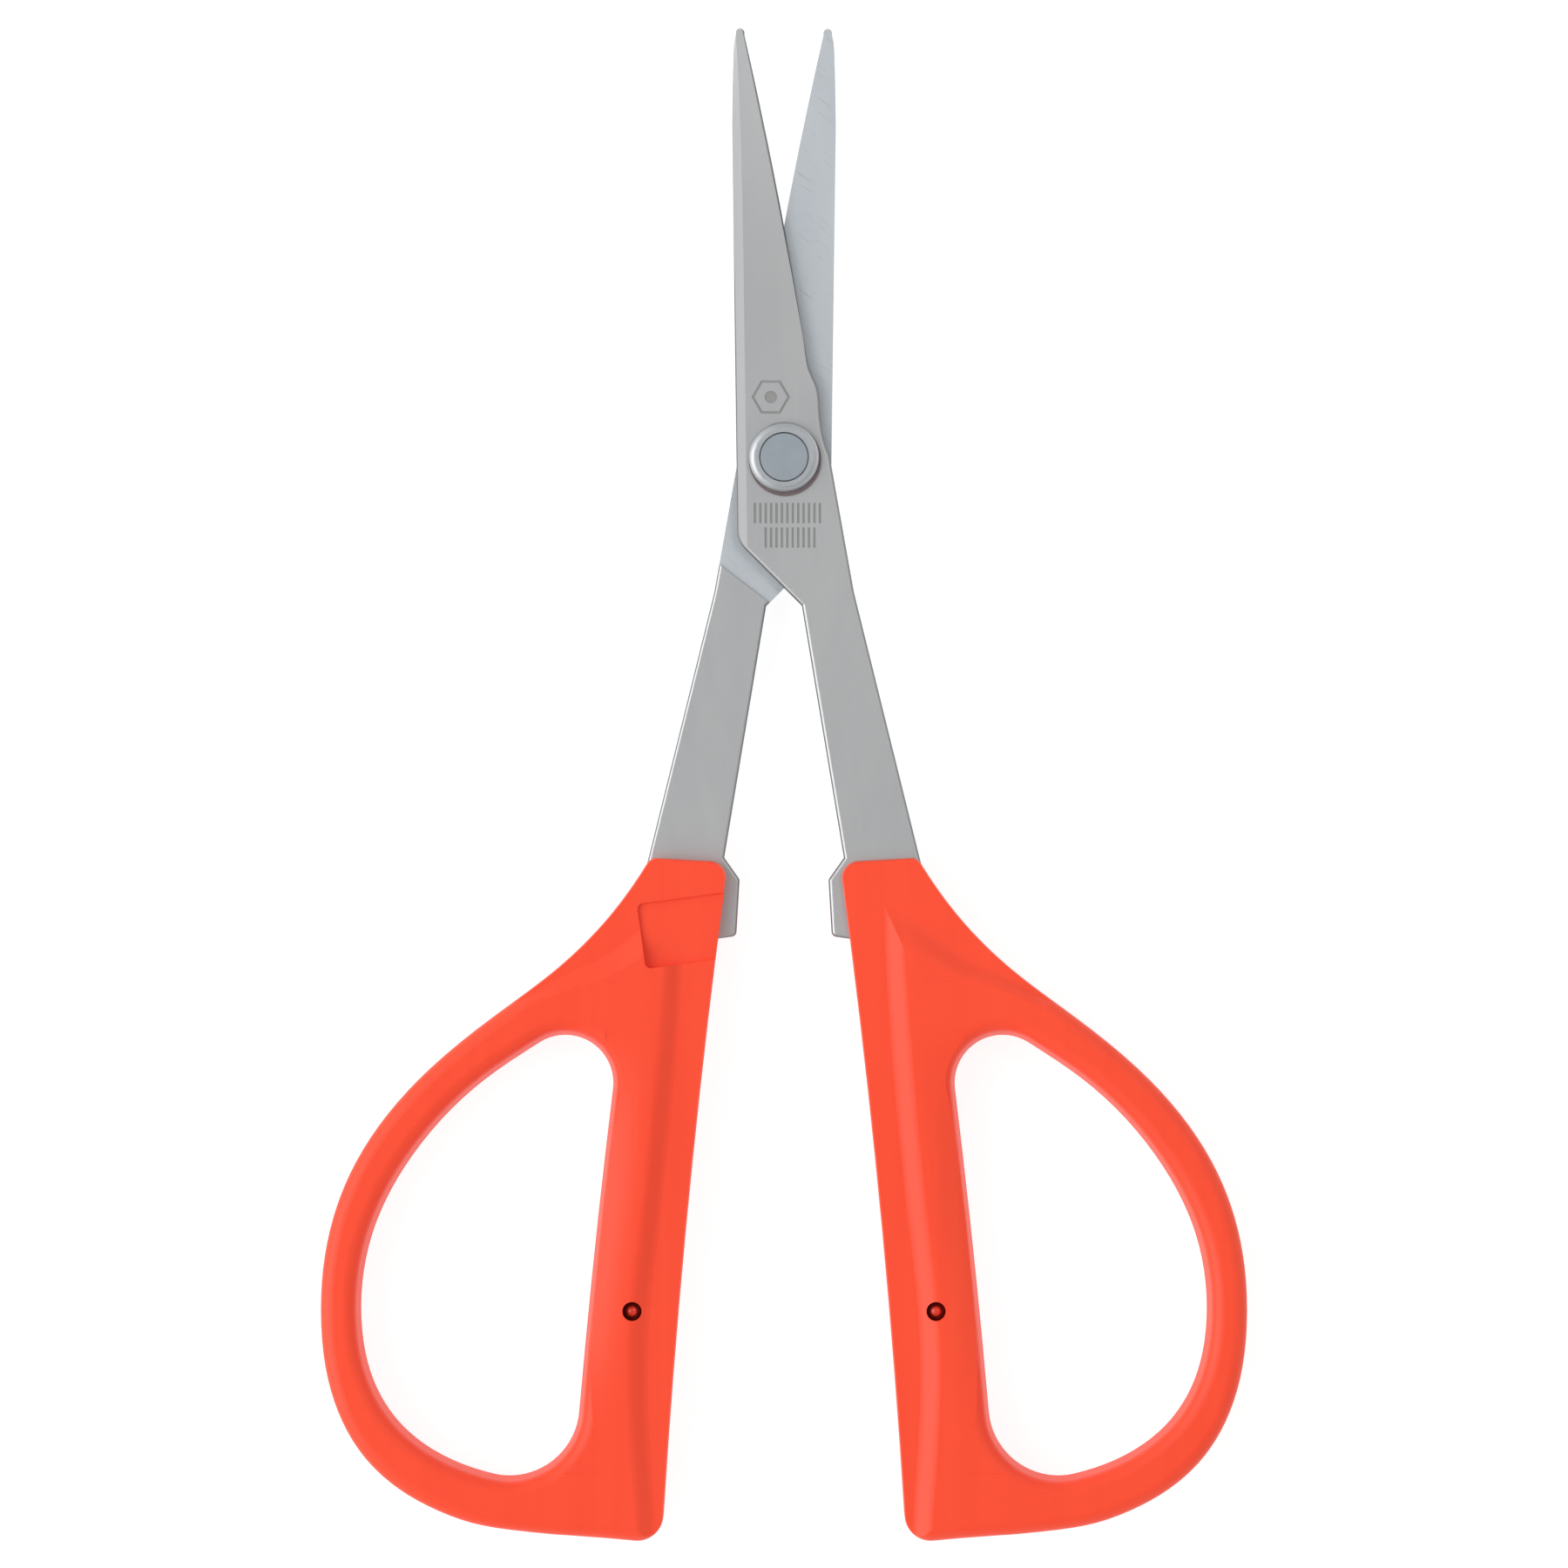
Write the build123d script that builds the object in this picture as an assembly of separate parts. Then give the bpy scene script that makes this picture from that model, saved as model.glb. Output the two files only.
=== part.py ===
"""Slim fabric shears: two riveted steel blades whose tangs run into moulded loop handles.

The shears lie flat with the tips towards +Y. The origin is the middle of their footprint, on the
plane they rest on. Every piece is drawn about the pivot first, with z = 0 on the plane where the
blades meet, and is moved to the origin at the end. One half of the shears is drawn: the front
blade with its handle on the +X side. The other half is the same half turned over.
"""
import os
from math import cos, pi, radians, sin, tan

from build123d import *

# Reach of the shears from the pivot, as they lie half open
tip_reach = 49.25
handle_reach = 124.2
loop_reach = 53.05

# Strip steel
stock = 2.2               # pivot plane to the outer face
inner_stand = 0.35        # how far the tang's inner face stands past the pivot plane
face_clearance = 0.03     # each ground face to the pivot plane
outer_edge_radius = 0.4   # rounding of the outer face's rim

# Blade outline
spine_reach = 5.95        # axis to the spine at its widest
spine_lean = 0.6          # how much nearer the spine is at the heel
heel_drop = 7.5           # pivot to the start of the heel's curve
heel_radius = 3.0
crotch_drop = 14.95       # pivot to where the heel's diagonal crosses the axis
tip_width = 0.95
tip_round = 0.65          # height of the rounded tip
tip_curve = 10.5          # length of the spine's curve behind the tip
tip_curve_bow = 0.12      # how far that curve has left the spine after two thirds of its length
edge_tip_reach = 4.55     # axis to the cutting edge at the tip
edge_start = (2.6, 11.4)
edge_bulge = 0.33
ricasso = [(3.0, 9.9), (3.8, 8.0), (4.1, 5.4), (4.5, 2.4)]
neck = (5.2, 0.3)         # where the ricasso meets the tang's outer edge

# Grinding
spine_bevel_width = 1.1
spine_bevel_drop = 0.1
grind_start = 10.0        # pivot to where the outer face begins to fall
grind_lean = 9.0          # degrees the outer face falls at the tip
tip_thickness = 1.0       # at the spine side of the tip
cutting_bevel_width = 0.3
cutting_bevel_foot = 0.2  # height of the bevel's lower line above the pivot plane
grind_steps = 9           # equal lengths in which the fall grows
grind_first = 0.03        # share of the fall and the bevel where they begin
tip_bevels = 0.4          # share of both bevels' widths that is left at the tip
grind_past_tip = 1.0
step_inner = (2.05, -16.4)
step_outer = (7.25, -12.4)
step_inner_end = 1.0      # how far the ground face runs on below the step at the crotch

# Tang
tang_bend = (8.0, -15.4)
tang_lean = 13.9          # outer edge from straight down, below the bend
tang_inner = (2.05, -17.0)
tang_inner_lean = 9.46
lug_height = 9.0
lug_chamfer = 2.5
lug_reach = 5.1           # axis to the lug's upper corner
lug_taper = 0.38
lug_corner_radius = 0.6
lug_root = (1.2, 0.3)     # inside the handle's straight edge and below the lug's corner
tang_buried = 4.0         # how far the tang keeps its outer edge inside the handle
tail_start = 1.5          # below the lug's corner
tail_cover = 1.0          # plastic between the tail and the handle's straight edge
tail_width_top = 7.6
tail_width_end = 5.4
tail_past_peg = 3.6

# Handle
handle_top = 45.9
handle_half = 4.2         # half the thickness over the loop and the ridge
flat_half = 3.3           # half the thickness over the inner strip and the shoulder
top_width = 8.9
edge_top = (6.4, -handle_top - 0.5)   # upper end of the straight edge beside the axis
edge_foot_reach = 14.0    # axis to the straight edge at its foot
foot_point = 0.2          # how far the foot's sharp corner would lie past the reach
edge_bow = 0.75
top_inner_radius = 1.9
top_outer_radius = 1.2
foot_flat = 20.0          # axis to where the foot turns up into the loop
foot_rise = 0.35
foot_slope = 0.08
foot_radius = 3.0
handle_edge_radius = 1.5

# Loop outline, as shares of the loop's reach and of the handle's length
loop_shape = [
    (0.373, 0.082), (0.487, 0.160), (0.635, 0.236), (0.772, 0.313), (0.873, 0.390), (0.940, 0.466),
    (0.988, 0.568), (1.000, 0.6705), (0.981, 0.773), (0.908, 0.875), (0.830, 0.924),
    (0.754, 0.953), (0.679, 0.972), (0.603, 0.982), (0.490, 0.990),
]

# Finger hole
bar_width_top = 9.7        # straight edge to the hole, level with the handle's top
bar_width_foot = 10.7
ring_width = 4.55
ring_growth = [           # share of the way round the loop, width there above the ring's own
    (0.09, 1.70), (0.18, 1.15), (0.274, 0.55), (0.383, 0.55), (0.493, 0.20), (0.593, 0.0),
    (0.667, 0.40), (0.73, 0.95), (0.803, 1.25), (0.913, 1.20),
]
hole_top_radius = 5.5
hole_foot_radius = 8.0
hole_draft = 9.0          # degrees the hole's wall leans out from the parting line to each face

# Lower levels of the handle's faces
strip_widths = [          # share of the handle's length, width of the strip there
    (0.07, 4.6), (0.28, 3.8), (0.54, 3.8), (0.665, 3.9), (0.78, 3.3), (0.93, 1.5), (1.03, 0.3),
]
shoulder_crease = [(16.8, -54.4), (20.6, -57.2), (25.3, -59.4), (30.5, -62.0), (36.0, -63.6)]
slope_width = 2.3
slope_shares = [0.0, 0.15, 0.32, 0.5, 0.68, 0.85, 1.0]
slope_overrun = 0.12      # how far past its crest the slope's cut goes on, as a share of its width
slope_clear = 0.04        # and how high above the crest
apex_run = 5.0            # length in which the ridge rises out of the handle's top
crease_width = 2.6
crease_narrowing = 0.8    # share of the crease's width that is lost along the shoulder
crease_turn = 0.5         # sideways part of the crease's slope
fall_start = 6.5          # straight edge to the bar's crest
fall_width = 5.6
fall_depths = [           # share of the handle's length, how far the bar falls from its crest there
    (0.18, 0.03), (0.26, 0.1), (0.34, 1.0), (0.42, 1.7), (0.62, 1.7), (0.74, 1.0), (0.82, 0.1),
    (0.90, 0.03),
]
recess_depth = 0.4
recess_size = (10.4, 7.5)
recess_corner = 0.7
recess_tilt = 7.7
recess_middle = (4.04, 8.3)   # inside the straight edge and below the handle's top

# Peg
peg_place = (5.98, 51.9)      # inside the straight edge and below the handle's top
peg_diameter = 2.2
peg_below_face = 0.8

# Pivot
shank_diameter = 4.0
shank_clearance = 0.04
head_diameter = 5.6
head_thickness = 0.7
head_edge = 0.12
cup_diameter = 8.0
cup_height = 1.15
cup_floor = 0.4
cup_round = 0.7
head_clearance = 0.05
washer_diameter = 8.3
washer_thickness = 0.25
washer_offset = (0.12, -0.3)
washer_play = 0.5         # between the washer's bore and the shank, all round
washer_clearance = 0.03

# Marks on the front blade
mark_depth = 0.12
badge_middle = (-1.5, 6.9)
badge_radius = 2.2
badge_line = 0.3
badge_dot = 0.7
tick_width = 0.26
tick_height = 2.3
tick_pitch = 0.62
tick_rows = [(0.4, -6.4, 13), (0.7, -9.2, 10)]

past = 5.0                # how far a cutting solid runs past what it cuts
wide = 40.0


def plate(outline, low, high):
    """A plate with this outline between two heights."""
    return extrude(Plane.XY.offset(low) * outline, high - low)


def disc(diameter, low, high, middle=(0, 0)):
    """A round plate between two heights."""
    return plate(Pos(middle[0], middle[1]) * Circle(diameter / 2), low, high)


def slope_point(start, lean, y):
    """The point at height y on the line that leaves start and leans outwards on its way down."""
    return (start[0] + (start[1] - y) * tan(radians(lean)), y)


def between(low, high, share):
    """The value at a share of the way from one to the other."""
    return low + (high - low) * share


# ---------------------------------------------------------------- blades

lug_top = handle_top
tip_y = tip_reach - tip_round
edge_tip = (-edge_tip_reach, tip_y)
spine_tip = (-edge_tip_reach - tip_width, tip_y)
spine_top = (-spine_reach, tip_y - tip_curve)
spine_foot = (-spine_reach + spine_lean, -heel_drop)
heel_corner = (spine_foot[0], -crotch_drop - spine_foot[0])
inner_tang_foot = slope_point(tang_inner, tang_inner_lean, -lug_top)
outer_tang_foot = slope_point(tang_bend, tang_lean, -lug_top - tang_buried)
lug_upper = (lug_reach, -lug_top - lug_chamfer)
lug_lower = (lug_reach + lug_taper, -lug_top - lug_height)


def straight_edge_x(y):
    """The handle's straight edge beside the axis, at this height, without its bow."""
    return between(edge_top[0], edge_foot_reach, (edge_top[1] - y) / (handle_reach + edge_top[1]))


def on_handle(inside, below):
    """A place on the handle: inside its straight edge and below its top."""
    return (straight_edge_x(-handle_top - below) + inside, -handle_top - below)


peg_middle = on_handle(*peg_place)
recess_centre = on_handle(*recess_middle)


def tail_points():
    """The tapered tail of the tang inside the handle, from the lug round its end."""
    start = lug_lower[1] - tail_start
    end = peg_middle[1] - tail_past_peg
    left = straight_edge_x(start) + tail_cover
    return [
        (left, start),
        (peg_middle[0] - tail_width_end / 2, end),
        (peg_middle[0] + tail_width_end / 2, end),
        (left + tail_width_top, start),
    ]


def blade_outline():
    """Tip, spine, heel, tang with its lug and tail, ricasso and cutting edge, in one line."""
    tip_middle = (between(spine_tip[0], edge_tip[0], 0.5), tip_reach)
    edge_middle = (
        between(edge_start[0], edge_tip[0], 0.5) + edge_bulge,
        between(edge_start[1], edge_tip[1], 0.5),
    )
    spine_curve = [spine_tip, (-spine_reach + tip_curve_bow, tip_y - tip_curve / 3), spine_top]
    straight_runs = [spine_top, spine_foot, heel_corner, tang_inner, inner_tang_foot, lug_upper]
    straight_runs += [lug_lower, (edge_top[0] + lug_root[0], lug_lower[1] - lug_root[1])]
    straight_runs += tail_points()
    straight_runs += [outer_tang_foot, tang_bend, neck]
    edges = [
        ThreePointArc(edge_tip, tip_middle, spine_tip),
        Spline(spine_curve, tangents=[(-0.3, -1), (0, -1)]),
        Polyline(straight_runs),
        Spline([neck] + ricasso[::-1] + [edge_start], tangents=[(-0.5, 1), (-0.2, 1)]),
        ThreePointArc(edge_start, edge_middle, edge_tip),
    ]
    outline = make_face(edges)
    heel = outline.vertices().sort_by_distance((*heel_corner, 0))[0]
    outline = fillet(heel, heel_radius)
    lug_corners = [outline.vertices().sort_by_distance((*p, 0))[0] for p in (lug_upper, lug_lower)]
    return fillet(lug_corners, lug_corner_radius)


def spine_x(y):
    """The spine's straight part at this height."""
    return between(spine_foot[0], spine_top[0], (y - spine_foot[1]) / (spine_top[1] - spine_foot[1]))


def edge_x(y):
    """The cutting edge with its slight bulge, at this height."""
    share = (y - edge_start[1]) / (tip_y - edge_start[1])
    return between(edge_start[0], edge_tip[0], share) + 4 * edge_bulge * share * (1 - share)


def grind_section(share):
    """What is ground off above the blade at one share of its length: spine bevel, fall, cutting bevel."""
    y = between(grind_start, tip_reach + grind_past_tip, share)
    grown = between(grind_first, 1, sin(share * pi / 2))
    ridge = between(stock, tip_thickness, share**2)
    narrow = between(1, tip_bevels, share**4)
    ridge_x = spine_x(y) + spine_bevel_width * narrow
    bevel_x = edge_x(y) - cutting_bevel_width * narrow * grown
    bevel_top = ridge - (bevel_x - ridge_x) * tan(radians(grind_lean)) * grown
    bevel_foot = between(bevel_top, cutting_bevel_foot, grown)
    top = stock + past
    points = [
        (-wide, top), (-wide, ridge - spine_bevel_drop), (spine_x(y), ridge - spine_bevel_drop),
        (ridge_x, ridge), (bevel_x, bevel_top), (edge_x(y), bevel_foot), (wide, bevel_foot), (wide, top),
    ]
    return make_face(Polyline([(x, y, z) for x, z in points], close=True))


def spine_bevel_section(y):
    """What the spine's bevel takes off at one height below the grind."""
    low = stock - spine_bevel_drop
    top = stock + past
    ridge_x = spine_x(y) + spine_bevel_width
    points = [(-wide, top), (-wide, low), (spine_x(y), low), (ridge_x, stock), (ridge_x, top)]
    return make_face(Polyline([(x, y, z) for x, z in points], close=True))


def ground_faces():
    """The bevel along the spine, and the outer face that falls to the cutting bevel."""
    blade_part = loft([grind_section(n / grind_steps) for n in range(grind_steps + 1)])
    heel_part = loft([spine_bevel_section(y) for y in (-wide, grind_start)], ruled=True)
    return [blade_part, heel_part]


def inner_grind():
    """The ground inner face: everything on the blade's side of the step across the tang."""
    outline = Polyline([
        (-wide, step_inner[1] - step_inner_end), (0, step_inner[1] - step_inner_end), step_inner, step_outer,
        (wide, step_outer[1]), (wide, tip_reach + past), (-wide, tip_reach + past),
    ], close=True)
    return plate(make_face(outline), -inner_stand - past, face_clearance)


def badge():
    """A plain hexagon with a dot."""
    ring = RegularPolygon(badge_radius, 6) - RegularPolygon(badge_radius - badge_line, 6)
    marks = Pos(*badge_middle) * (ring + Circle(badge_dot))
    return plate(marks, stock - mark_depth, stock + past)


def tick_marks():
    """Two rows of plain upright ticks below the pivot."""
    ticks = []
    for middle, height, count in tick_rows:
        for n in range(count):
            x = middle + (n - (count - 1) / 2) * tick_pitch
            ticks.append(Pos(x, height) * Rectangle(tick_width, tick_height))
    return plate(Sketch() + ticks, stock - mark_depth, stock + past)


def blade(bore):
    """One blade with its tang, as seen from its outer face."""
    solid = plate(blade_outline(), -inner_stand, stock)
    rims = solid.edges().group_by(Axis.Z)
    solid = fillet(rims[-1], outer_edge_radius)
    solid = fillet(solid.edges().group_by(Axis.Z)[0], inner_stand)
    for cut in ground_faces():
        solid -= cut
    solid -= inner_grind()
    solid -= disc(peg_diameter, -past, stock + past, peg_middle)
    return solid - disc(bore, -past, stock + past)


# ---------------------------------------------------------------- handles

def silhouette():
    """The handle's outer line, from its top corner round the loop to its foot."""
    length = handle_reach - handle_top
    points = [(x * loop_reach, -handle_top - y * length) for x, y in loop_shape]
    start = (edge_top[0] + top_width, -handle_top)
    end = (foot_flat, -handle_reach + foot_rise)
    return Spline([start] + points + [end], tangents=[(0.6, -1), (-1, -foot_slope)])


def straight_edge(shift_top=0.0, shift_foot=0.0):
    """The bowed line beside the axis, or the same line further out."""
    start = (edge_top[0] + shift_top, edge_top[1])
    end = (edge_foot_reach + shift_foot, -handle_reach - foot_point)
    middle = (between(start[0], end[0], 0.5) + edge_bow, between(start[1], end[1], 0.5))
    return ThreePointArc(start, middle, end)


def finger_hole():
    """The D-shaped hole: the bar's side, and a far side that keeps the ring's width."""
    outer = silhouette()
    far_side = []
    for share, growth in ring_growth:
        along = outer % share
        inward = Vector(along.Y, -along.X)
        far_side.append(outer @ share + inward * (ring_width + growth))
    foot = far_side[-1]
    far_side.append(Vector(foot.X - bar_width_foot, foot.Y - foot_slope * bar_width_foot))
    curve = Spline(far_side)
    inside = make_face([curve, Polyline([curve @ 1, (0, (curve @ 1).Y), (0, (curve @ 0).Y), curve @ 0])])
    side = straight_edge(bar_width_top, bar_width_foot)
    beyond = make_face([
        side,
        Polyline([side @ 1, (2 * loop_reach, (side @ 1).Y), (2 * loop_reach, (side @ 0).Y), side @ 0]),
    ])
    hole = inside & beyond
    corners = hole.vertices().sort_by(Axis.Y)
    hole = fillet(corners[-1], hole_top_radius)
    return fillet(hole.vertices().sort_by_distance(corners[0])[0], hole_foot_radius)


def handle_outline():
    """The handle's silhouette with its rounded corners."""
    outer = silhouette()
    side = straight_edge()
    face = make_face([outer, Line(outer @ 1, side @ 1), side, Line(side @ 0, outer @ 0)])
    corners = [(side @ 0, top_inner_radius), (outer @ 0, top_outer_radius), (side @ 1, foot_radius)]
    for corner, radius in corners:
        face = fillet(face.vertices().sort_by_distance(corner)[0], radius)
    return face


def hole_cut():
    """The finger hole, narrowest at the parting line and wider towards both faces."""
    front = extrude(finger_hole(), handle_half + past, taper=-hole_draft)
    return front + mirror(front, Plane.XY)


def low_outline(share):
    """Strip, top and shoulder that lie lower than the loop, widened by a share of the slope."""
    strip = []
    for along, width in strip_widths:
        y = -handle_top - along * (handle_reach - handle_top)
        strip.append((straight_edge_x(y) + width + share * slope_width, y))
    strip[0] = (strip[0][0], strip[0][1] - share * apex_run)
    crease = []
    for n, (x, y) in enumerate(shoulder_crease):
        drop = share * crease_width * (1 - crease_narrowing * n / (len(shoulder_crease) - 1))
        crease.append((x - crease_turn * drop, y - drop))
    far = (wide + past, -handle_top + past)
    frame = Polyline([
        crease[-1], (far[0], crease[-1][1]), far, (-past, far[1]), (-past, strip[-1][1]), strip[-1],
    ])
    return make_face([Spline([strip[0]] + crease), frame, Spline(strip)])


def slope_height(share):
    """Height on the slope at a share of its width: level at its foot and at its crest."""
    return between(flat_half, handle_half, (1 - cos(pi * share)) / 2)


def low_cut():
    """What is taken off the handle's front to leave the low levels and their soft slopes."""
    levels = [Plane.XY.offset(slope_height(share)) * low_outline(share) for share in slope_shares]
    levels.append(Plane.XY.offset(handle_half + slope_clear) * low_outline(1 + slope_overrun))
    return loft(levels)


def bar_fall():
    """What is taken off the bar so that it falls, rounded, from its crest to the finger hole."""
    sections = []
    for along, depth in fall_depths:
        y = -handle_top - along * (handle_reach - handle_top)
        crest = straight_edge_x(y) + fall_start
        top = handle_half + past
        round_top = ThreePointArc(
            (crest, y, handle_half),
            (crest + fall_width / 2, y, handle_half - depth / 4),
            (crest + fall_width, y, handle_half - depth),
        )
        rest = Polyline([round_top @ 1, (crest + fall_width, y, top), (crest, y, top), round_top @ 0])
        sections.append(make_face([round_top, rest]))
    return loft(sections)


def recess():
    """The shallow square step in one face of the handle, open towards the straight edge."""
    outline = Pos(*recess_centre) * Rot(0, 0, -recess_tilt) * RectangleRounded(*recess_size, recess_corner)
    return plate(outline, -flat_half - past, -flat_half + recess_depth)


def handle(core):
    """The handle moulded round its tang."""
    solid = plate(handle_outline(), -handle_half, handle_half) - hole_cut()
    rims = solid.edges().group_by(Axis.Z)
    solid = fillet(rims[0] + rims[-1], handle_edge_radius)
    for cut in (low_cut(), bar_fall()):
        solid -= cut
        solid -= mirror(cut, Plane.XY)
    solid -= recess()
    solid -= disc(peg_diameter, -handle_half - past, handle_half + past, peg_middle)
    return solid - core


def peg():
    """The domed pin that locks the handle to the tang."""
    radius = peg_diameter / 2
    reach = handle_half - peg_below_face - radius
    solid = disc(peg_diameter, -reach, reach, peg_middle)
    for end in (-reach, reach):
        solid += Pos(*peg_middle, end) * Sphere(radius)
    return solid


# ---------------------------------------------------------------- pivot

front_seat = stock + washer_thickness + washer_clearance


def cup_washer(seat):
    """A ring with a floor under the rivet's head and a rounded rim round it."""
    solid = disc(cup_diameter, seat, seat + cup_height)
    solid = fillet(solid.edges().sort_by(Axis.Z)[-1], cup_round)
    solid -= disc(head_diameter + 2 * head_clearance, seat + cup_floor, seat + past)
    return solid - disc(shank_diameter + 2 * head_clearance, seat - past, seat + past)


def rivet():
    """Head, shank and set tail in one piece."""
    head_low = front_seat + cup_floor
    tail_low = stock + cup_floor
    head = disc(head_diameter, head_low, head_low + head_thickness)
    tail = disc(head_diameter, -tail_low - head_thickness, -tail_low)
    head = chamfer(head.edges().sort_by(Axis.Z)[-1], head_edge)
    tail = chamfer(tail.edges().sort_by(Axis.Z)[0], head_edge)
    return head + disc(shank_diameter, -tail_low - head_thickness / 2, head_low + head_thickness / 2) + tail


def friction_washer():
    """The thin disc under the front cup, loose enough on the shank to sit off centre."""
    bore = disc(shank_diameter + 2 * washer_play, stock - past, stock + past, washer_offset)
    return disc(washer_diameter, stock, stock + washer_thickness, washer_offset) - bore


def turned(solid):
    """The same piece on the other half of the shears."""
    return Rot(0, 180, 0) * solid


def build():
    """Every piece, by name."""
    rear_blade = blade(shank_diameter)
    front_blade = blade(shank_diameter + 2 * shank_clearance) - badge() - tick_marks()
    right_handle = handle(rear_blade)
    right_peg = peg()
    return {
        "front_blade": front_blade,
        "rear_blade": turned(rear_blade),
        "right_handle": right_handle,
        "left_handle": turned(right_handle),
        "right_handle_peg": right_peg,
        "left_handle_peg": turned(right_peg),
        "pivot_rivet": rivet(),
        "front_cup_washer": cup_washer(front_seat),
        "rear_cup_washer": turned(cup_washer(stock)),
        "front_friction_washer": friction_washer(),
    }


os.makedirs("parts", exist_ok=True)
pieces = build()
whole = Compound(children=[Compound(piece.solids()) for piece in pieces.values()]).bounding_box()
to_origin = Pos(0, -(whole.min.Y + whole.max.Y) / 2, -whole.min.Z)
print("pivot at", to_origin.position)
for name, piece in pieces.items():
    export_step(to_origin * piece, f"parts/{name}.step")
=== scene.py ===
"""Looks of the slim fabric shears: ground steel, moulded loops, pivot, soft light and camera."""
from math import cos, radians, sin

import bpy
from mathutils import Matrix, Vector


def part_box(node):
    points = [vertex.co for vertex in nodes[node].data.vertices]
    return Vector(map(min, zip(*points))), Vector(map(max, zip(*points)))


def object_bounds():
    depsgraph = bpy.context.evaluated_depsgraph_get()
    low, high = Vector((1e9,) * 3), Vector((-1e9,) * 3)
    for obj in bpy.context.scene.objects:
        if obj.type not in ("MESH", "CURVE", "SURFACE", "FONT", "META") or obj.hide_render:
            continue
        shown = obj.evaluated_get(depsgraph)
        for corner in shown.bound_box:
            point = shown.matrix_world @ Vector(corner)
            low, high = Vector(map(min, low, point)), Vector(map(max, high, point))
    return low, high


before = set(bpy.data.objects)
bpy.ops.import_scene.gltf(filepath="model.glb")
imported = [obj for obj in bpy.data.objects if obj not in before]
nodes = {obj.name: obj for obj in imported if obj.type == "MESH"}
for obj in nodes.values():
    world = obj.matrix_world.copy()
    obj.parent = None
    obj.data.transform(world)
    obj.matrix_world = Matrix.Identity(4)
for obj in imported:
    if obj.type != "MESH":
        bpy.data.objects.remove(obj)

cad_low, cad_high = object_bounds()

MM = 0.001


def middle(node):
    """The centre of a piece's box."""
    low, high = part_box(node)
    return (low + high) / 2


axis = middle("pivot_rivet")
face_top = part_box("front_blade")[1].z
plane = (face_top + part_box("rear_blade")[0].z) / 2
floor_height = cad_low.z


# ------------------------------------------------------------------ shader maths


class Value:
    """One socket of a finish. Sums and products on it add the nodes they need."""

    def __init__(self, finish, socket):
        self.finish = finish
        self.socket = socket

    def maths(self, operation, first, second=0.0):
        return self.finish.node("Math", {"operation": operation}, {"Value": first, "Value_001": second})

    def __add__(self, other):
        return self.maths("ADD", self, other)

    def __sub__(self, other):
        return self.maths("SUBTRACT", self, other)

    def __rsub__(self, other):
        return self.maths("SUBTRACT", other, self)

    def __mul__(self, other):
        return self.maths("MULTIPLY", self, other)

    def __abs__(self):
        return self.maths("ABSOLUTE", self)

    __radd__ = __add__
    __rmul__ = __mul__


class Finish:
    """One material with its Principled shader."""

    def __init__(self, name, constants):
        self.material = bpy.data.materials.new(name)
        self.material.use_nodes = True
        self.tree = self.material.node_tree
        self.shader = self.tree.nodes["Principled BSDF"]
        for socket, value in constants.items():
            self.shader.inputs[socket].default_value = value

    def node(self, kind, settings, sockets, output=0):
        """A node with its settings, then its sockets' values or links."""
        made = self.tree.nodes.new("ShaderNode" + kind)
        for setting, value in settings.items():
            setattr(made, setting, value)
        for name, value in sockets.items():
            socket = next(s for s in made.inputs if s.identifier == name)
            if isinstance(value, Value):
                self.tree.links.new(value.socket, socket)
            else:
                socket.default_value = value
        if isinstance(output, str):
            return Value(self, next(s for s in made.outputs if s.identifier == output))
        return Value(self, made.outputs[output])

    def feed(self, **sockets):
        """Joins values to the shader's own sockets."""
        for name, value in sockets.items():
            self.tree.links.new(value.socket, self.shader.inputs[name.replace("_", " ")])

    def place(self):
        """Where a point of the piece is, in metres."""
        return self.node("TexCoord", {}, {}, "Object")

    def part(self, vector, letter):
        """One of a vector's three numbers."""
        return self.node("SeparateXYZ", {}, {"Vector": vector}, letter)

    def moved(self, vector, shift):
        """The same place measured from another origin."""
        return self.node("VectorMath", {"operation": "ADD"}, {"Vector": vector, "Vector_001": shift})

    def stretched(self, vector, scales):
        """The same place with each axis scaled on its own."""
        return self.node("VectorMath", {"operation": "MULTIPLY"}, {"Vector": vector, "Vector_001": scales})

    def turned(self, vector, angle):
        """The same place in axes turned about the vertical."""
        return self.node("VectorRotate", {"rotation_type": "Z_AXIS"}, {"Vector": vector, "Angle": angle})

    def noise(self, vector, scale, detail=3.0):
        """Soft clouds, or fine lines where the vector is stretched."""
        sockets = {"Vector": vector, "Scale": scale, "Detail": detail, "Roughness": 0.55}
        return self.node("TexNoise", {}, sockets, "Fac")

    def ease(self, value, low, high):
        """0 below low, 1 above high and a soft step between."""
        sockets = {"Value": value, "From Min": low, "From Max": high}
        return self.node("MapRange", {"interpolation_type": "SMOOTHSTEP"}, sockets, "Result")

    def blend(self, share, first, second):
        """One colour passing into another."""
        sockets = {"Factor_Float": share, "A_Color": first, "B_Color": second}
        return self.node("Mix", {"data_type": "RGBA"}, sockets, "Result_Color")

    def bump(self, height, depth):
        """A bump of this depth in metres."""
        return self.node("Bump", {}, {"Height": height, "Distance": depth, "Strength": 1.0}, "Normal")


def colour(red, green, blue):
    """A colour with full cover."""
    return (red, green, blue, 1.0)


# ------------------------------------------------------------------ finishes


def within(steel, value, low, high):
    """1 between two limits in millimetres and 0 outside them."""
    soft = 0.02 * MM
    low, high = low * MM, high * MM
    return steel.ease(value, low - soft, low + soft) * (1 - steel.ease(value, high - soft, high + soft))


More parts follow.
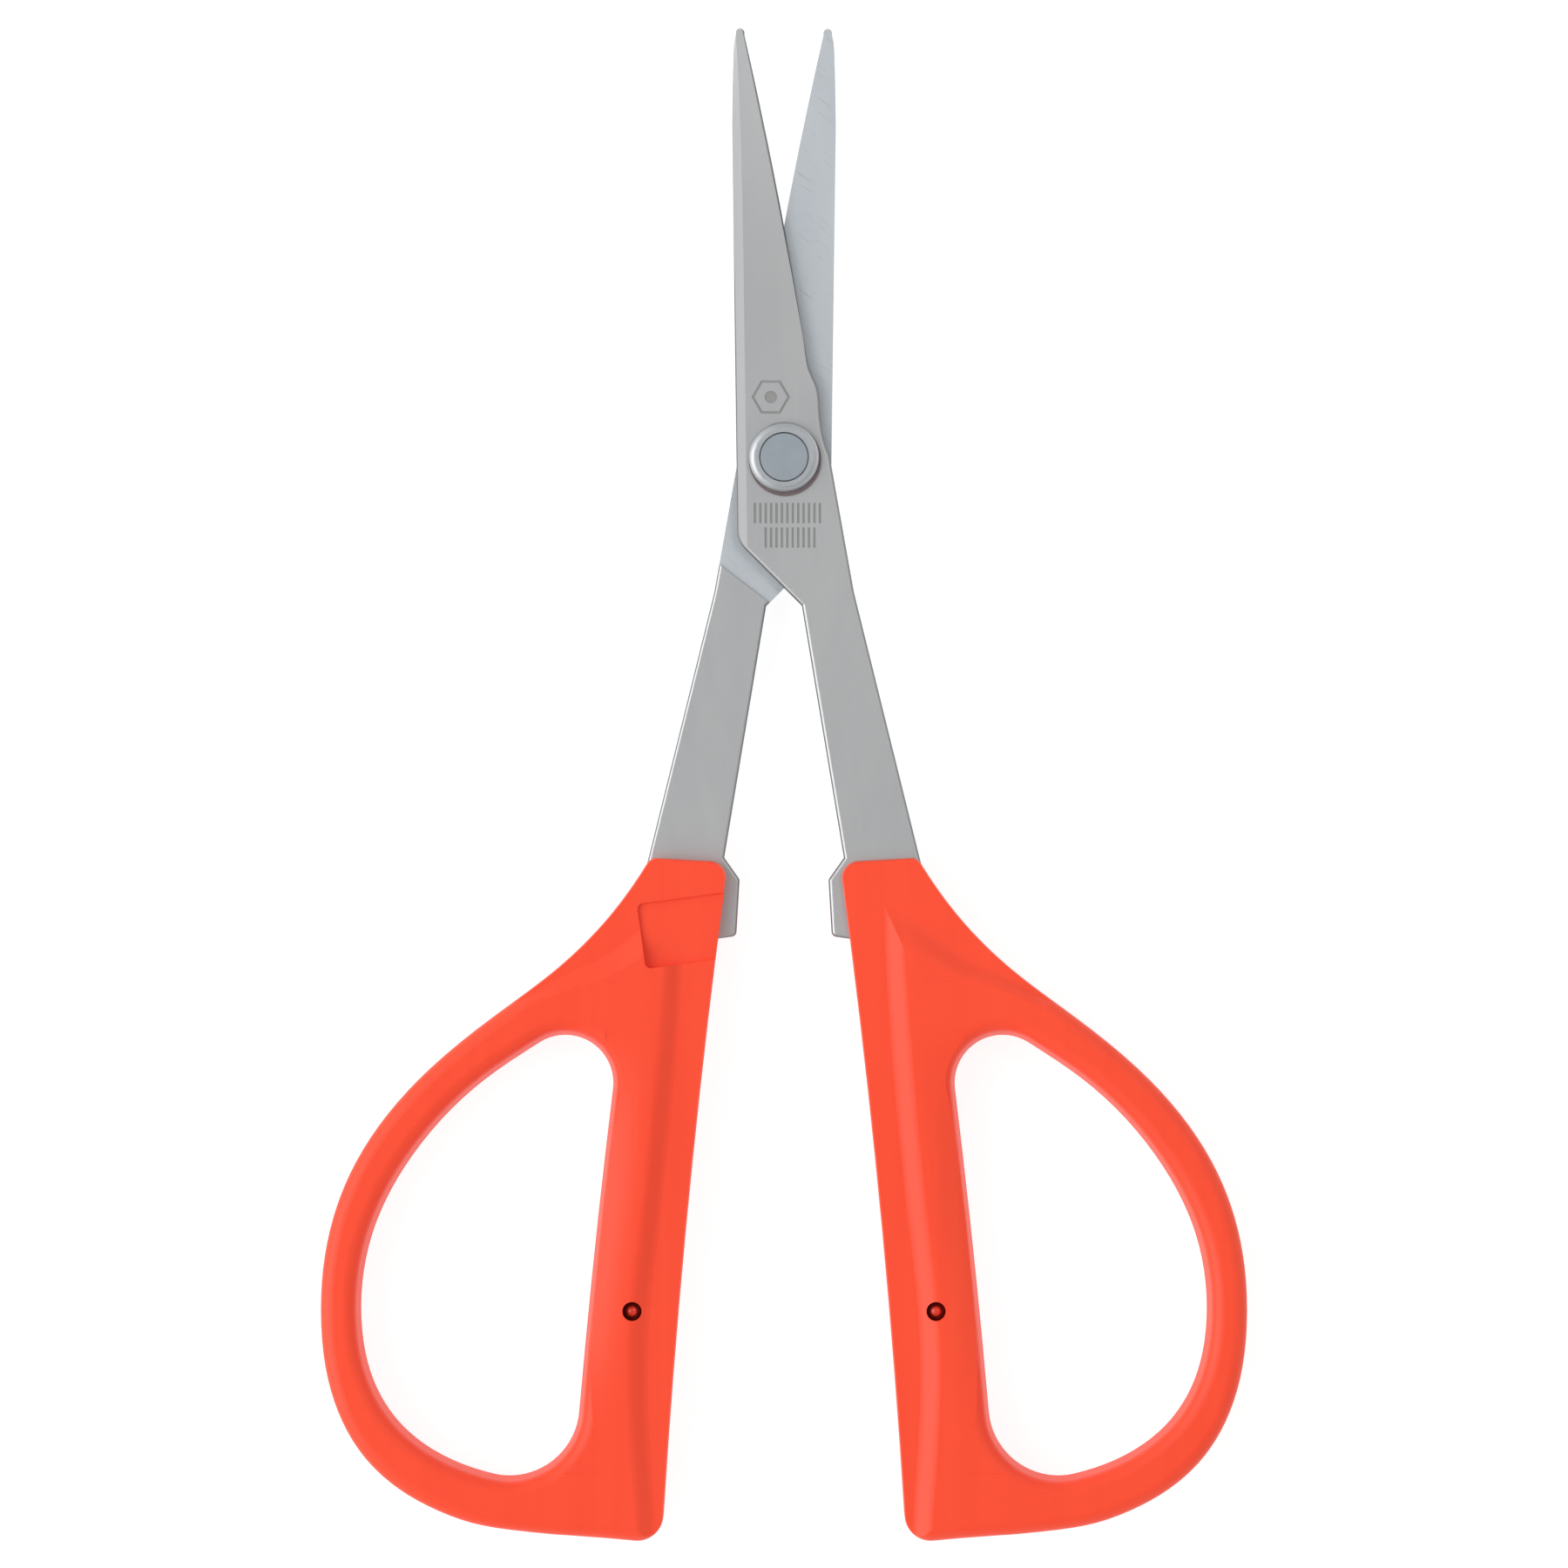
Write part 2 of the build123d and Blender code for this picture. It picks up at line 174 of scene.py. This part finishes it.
def stamped(steel, from_axis):
    """1 in the sunk marks of the front blade's outer face."""
    across = steel.part(from_axis, "X")
    up = steel.part(from_axis, "Y")
    height = steel.part(from_axis, "Z")
    outer = (face_top - plane) / MM
    deep = within(steel, height, outer - 0.2, outer - 0.05)
    badge = within(steel, across, -3.8, 0.8) * within(steel, up, 4.6, 8.75)
    ticks = within(steel, across, -3.9, 5.0) * within(steel, up, -10.6, -4.8)
    return deep * (badge + ticks)


def levelness(finish):
    """1 on faces that lie flat, 0 on upright walls."""
    normal = finish.node("NewGeometry", {}, {}, "Normal")
    return abs(finish.part(normal, "Z"))


def blade_steel(name, side):
    """Satin steel, polished lengthwise outside, ground across and bluish inside, with painted shade on its
    steep walls and edges.
    """
    steel = Finish(name, {"Metallic": 1.0})
    place = steel.place()
    from_axis = steel.moved(place, (-axis.x, -axis.y, -plane))
    height = steel.part(from_axis, "Z")
    inner = 1 - steel.ease(abs(height), 0.1 * MM, 0.2 * MM)
    along = steel.turned(from_axis, side * radians(5.0))
    polish = steel.noise(steel.stretched(along, (9000, 240, 9000)), 1.0)
    ground = steel.noise(steel.stretched(along, (500, 9000, 500)), 1.0)
    cloud = steel.noise(steel.stretched(along, (220, 60, 220)), 1.0)
    tint = steel.blend(cloud, colour(0.48, 0.49, 0.50), colour(0.535, 0.545, 0.545))
    blue = steel.blend(cloud, colour(0.575, 0.62, 0.66), colour(0.635, 0.67, 0.70))
    across = steel.turned(from_axis, side * radians(52.0))
    scratch = steel.ease(steel.noise(steel.stretched(across, (9000, 260, 9000)), 1.0, 2.0), 0.63, 0.70)
    flat = steel.blend(scratch * inner * 0.35, steel.blend(inner, tint, blue), colour(0.30, 0.32, 0.34))
    level = levelness(steel)
    # Painted shade: steep walls and the cutting bevel are darkened by face angle, so dark bands show
    # beside the front blade's edges.
    painted_wall_shade = (1 - steel.ease(level, 0.72, 0.985)) * 0.6 + (1 - steel.ease(level, 0.4, 0.6)) * 0.35
    shaded_colour = steel.blend(painted_wall_shade, flat, colour(0.09, 0.092, 0.096))
    if side > 0:
        shaded_colour = steel.blend(stamped(steel, from_axis) * 0.42, shaded_colour, colour(0.20, 0.185, 0.17))
    steel.feed(
        Base_Color=shaded_colour,
        Roughness=0.36 + 0.1 * polish + 0.06 * cloud,
        Normal=steel.bump(polish * (1 - inner) + ground * inner, 0.002 * MM),
    )
    return steel.material


def pivot_steel(name, tint_low, tint_high, rough):
    """Steel turned on a lathe: fine rings round the axis."""
    steel = Finish(name, {"Metallic": 1.0})
    from_axis = steel.moved(steel.place(), (-axis.x, -axis.y, -plane))
    flat = steel.stretched(from_axis, (1, 1, 0))
    radius = steel.node("VectorMath", {"operation": "LENGTH"}, {"Vector": flat}, "Value")
    fine = {"W": radius * 9000, "Scale": 1.0, "Detail": 2.0}
    rings = steel.node("TexNoise", {"noise_dimensions": "1D"}, fine, "Fac")
    cloud = steel.noise(from_axis, 700)
    steel.feed(
        Base_Color=steel.blend(cloud, tint_low, tint_high),
        Roughness=rough + 0.12 * rings + 0.08 * cloud,
        Normal=steel.bump(rings, 0.003 * MM),
    )
    return steel.material


def bronze(name):
    """Dull brown bronze."""
    metal = Finish(name, {"Metallic": 1.0})
    place = metal.place()
    stain = metal.noise(place, 1500, 4)
    metal.feed(
        Base_Color=metal.blend(stain, colour(0.17, 0.13, 0.14), colour(0.28, 0.22, 0.225)),
        Roughness=0.35 + 0.2 * stain,
        Normal=metal.bump(metal.noise(place, 9000), 0.003 * MM),
    )
    return metal.material


def loop_plastic(name):
    """Red-orange moulded plastic with a soft sheen."""
    plastic = Finish(name, {"IOR": 1.45})
    place = plastic.place()
    cloud = plastic.noise(place, 45, 2)
    grain = plastic.noise(place, 2600, 2)
    streaks = plastic.noise(plastic.stretched(place, (700, 18, 700)), 1.0, 2)
    plastic.feed(
        Base_Color=plastic.blend(
            cloud * 0.4 + streaks * 0.6, colour(0.885, 0.050, 0.012), colour(0.96, 0.072, 0.022)
        ),
        Roughness=0.42 + 0.1 * grain,
        Normal=plastic.bump(grain, 0.004 * MM),
    )
    return plastic.material


def peg_plastic(name):
    """Red plastic with a painted highlight on the dome's crown and painted shade, almost black, down its
    sides.
    """
    plastic = Finish(name, {"IOR": 1.49})
    place = plastic.place()
    cloud = plastic.noise(place, 900, 2)
    # Painted light and shade: level faces get the bright red and sloping faces the near black.
    painted_crown_light = plastic.ease(levelness(plastic), 0.80, 0.96)
    plastic.feed(
        Base_Color=plastic.blend(
            painted_crown_light * (0.8 + 0.2 * cloud), colour(0.10, 0.012, 0.010), colour(0.86, 0.045, 0.014)
        ),
        Roughness=0.14 + 0.12 * cloud,
        Normal=plastic.bump(cloud, 0.01 * MM),
    )
    return plastic.material


def paint(node, material):
    """Gives a piece its finish."""
    piece = nodes[node]
    for slot in piece.material_slots:
        slot.material = material


loops = loop_plastic("loop plastic")
pegs = peg_plastic("peg plastic")
cups = pivot_steel("cup steel", colour(0.43, 0.455, 0.48), colour(0.50, 0.52, 0.535), 0.36)
heads = pivot_steel("rivet steel", colour(0.35, 0.395, 0.44), colour(0.41, 0.455, 0.49), 0.36)
paint("front_blade", blade_steel("front blade steel", 1))
paint("rear_blade", blade_steel("rear blade steel", -1))
paint("right_handle", loops)
paint("left_handle", loops)
paint("right_handle_peg", pegs)
paint("left_handle_peg", pegs)
paint("front_cup_washer", cups)
paint("rear_cup_washer", cups)
paint("pivot_rivet", heads)
paint("front_friction_washer", bronze("washer bronze"))


# ------------------------------------------------------------------ floor, light and camera


def floor():
    """A wide pale sheet under the shears."""
    reach = 3.0
    mesh = bpy.data.meshes.new("floor")
    corners = [(-reach, -reach), (reach, -reach), (reach, reach), (-reach, reach)]
    height = floor_height - 0.02 * MM
    mesh.from_pydata([(x, y, height) for x, y in corners], [], [(0, 1, 2, 3)])
    sheet = bpy.data.objects.new("floor", mesh)
    bpy.context.scene.collection.objects.link(sheet)
    glow = {"Emission Color": colour(1.0, 1.0, 1.0), "Emission Strength": 0.86}
    paper = Finish("pale floor", {"Roughness": 0.9} | glow)
    cloud = paper.noise(paper.place(), 3)
    paper.feed(Base_Color=paper.blend(cloud, colour(0.25, 0.25, 0.25), colour(0.27, 0.27, 0.27)))
    mesh.materials.append(paper.material)


def lamp(name, bearing, off_overhead, size, power):
    """A soft panel of light, aimed at the shears from this bearing and angle off overhead."""
    reach = 2.0
    light = bpy.data.lights.new(name, "AREA")
    light.shape = "DISK"
    light.size = size
    light.energy = power
    panel = bpy.data.objects.new(name, light)
    level = reach * sin(radians(off_overhead))
    height = reach * cos(radians(off_overhead))
    place = Vector((level * cos(radians(bearing)), level * sin(radians(bearing)), height))
    panel.location = place
    panel.rotation_euler = (-place).to_track_quat("-Z", "Y").to_euler()
    bpy.context.scene.collection.objects.link(panel)


def sky():
    """Even light from all round, a little dimmer straight overhead."""
    world = bpy.data.worlds.new("studio")
    bpy.context.scene.world = world
    world.use_nodes = True
    tree = world.node_tree
    coordinates = tree.nodes.new("ShaderNodeTexCoord")
    parts = tree.nodes.new("ShaderNodeSeparateXYZ")
    ramp = tree.nodes.new("ShaderNodeValToRGB")
    tree.links.new(coordinates.outputs["Generated"], parts.inputs[0])
    tree.links.new(parts.outputs["Z"], ramp.inputs[0])
    tree.links.new(ramp.outputs[0], tree.nodes["Background"].inputs["Color"])
    elements = ramp.color_ramp.elements
    elements[0].color = colour(0.86, 0.86, 0.86)
    elements[1].color = colour(0.43, 0.43, 0.43)
    elements.new(0.5).color = colour(0.84, 0.84, 0.84)
    elements.new(0.85).color = colour(0.50, 0.50, 0.50)
    tree.nodes["Background"].inputs["Strength"].default_value = 1.0


def overhead_camera():
    """Straight above the middle of the shears, tips up in the picture."""
    across = 180 * MM
    distance = 1.2
    lens = bpy.data.cameras.new("camera")
    lens.sensor_width = 36.0
    lens.lens = lens.sensor_width * distance / across
    lens.clip_end = 50.0
    camera = bpy.data.objects.new("camera", lens)
    camera.location = (0, 0, plane + distance)
    bpy.context.scene.collection.objects.link(camera)
    bpy.context.scene.camera = camera


floor()
lamp("left panel", 170, 24, 1.1, 2.0)
lamp("right panel", 35, 26, 0.5, 2.2)
lamp("side panel", 180, 52, 2.2, 26)
sky()
overhead_camera()
bpy.context.scene.view_settings.view_transform = "Standard"
